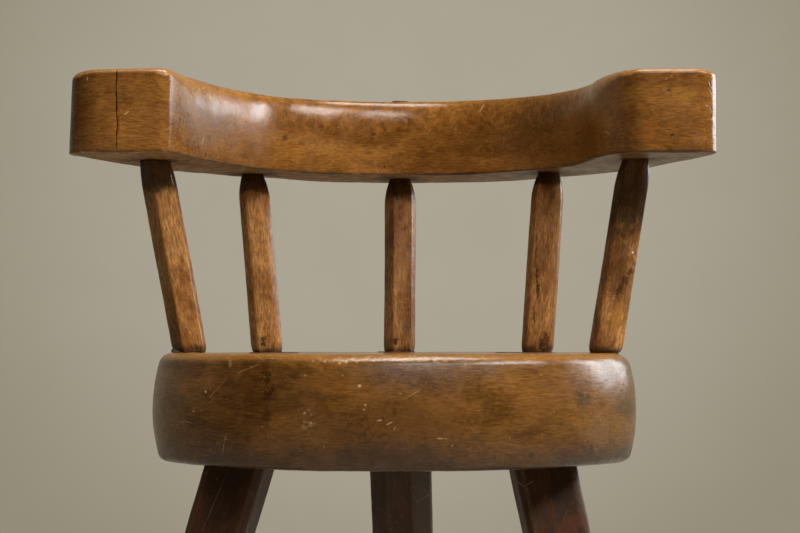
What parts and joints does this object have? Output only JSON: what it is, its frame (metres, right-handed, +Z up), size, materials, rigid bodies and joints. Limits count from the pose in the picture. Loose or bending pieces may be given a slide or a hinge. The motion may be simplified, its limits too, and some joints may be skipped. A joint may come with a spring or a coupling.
{
  "type": "low-back stick chair",
  "caption": "Low-back stick chair: thick round wooden seat on splayed legs, with a heavy curved crest rail on whittled spindles.",
  "frame": {"origin": "on the floor, under the middle of the chair's bounding box", "axes": "+Z up, -Y towards the open front between the arms, +X to the right as seen from the front"},
  "size_m": [0.5206, 0.4714, 0.6825],
  "materials": {
    "seat_wood": "satin waxed brown, fine horizontal grain, darker towards the bottom, with scratches and a dark stain",
    "rail_wood": "satin waxed warm brown, fine grain along the rail, edges worn lighter, a drying crack in one arm",
    "spindle_wood": "waxed brown with streaky upright grain, chamfers darker, dirt at both ends",
    "leg_wood": "dull dark brown, upright grain, fine scratches and checks",
    "wedge_wood": "plain end grain, dirty and slightly lighter than the tenons"
  },
  "bodies": {
    "root": {"seat": "seat_wood", "crest_rail": "rail_wood", "spindle_outer_left": "spindle_wood", "spindle_inner_left": "spindle_wood", "spindle_back": "spindle_wood", "spindle_inner_right": "spindle_wood", "spindle_outer_right": "spindle_wood", "leg_front_left": "leg_wood", "leg_front_right": "leg_wood", "leg_back": "leg_wood", "spindle_wedge_outer_left": "wedge_wood", "spindle_wedge_inner_left": "wedge_wood", "spindle_wedge_back": "wedge_wood", "spindle_wedge_inner_right": "wedge_wood", "spindle_wedge_outer_right": "wedge_wood", "leg_wedge_front_left": "wedge_wood", "leg_wedge_front_right": "wedge_wood", "leg_wedge_back": "wedge_wood"}
  },
  "joints": []
}
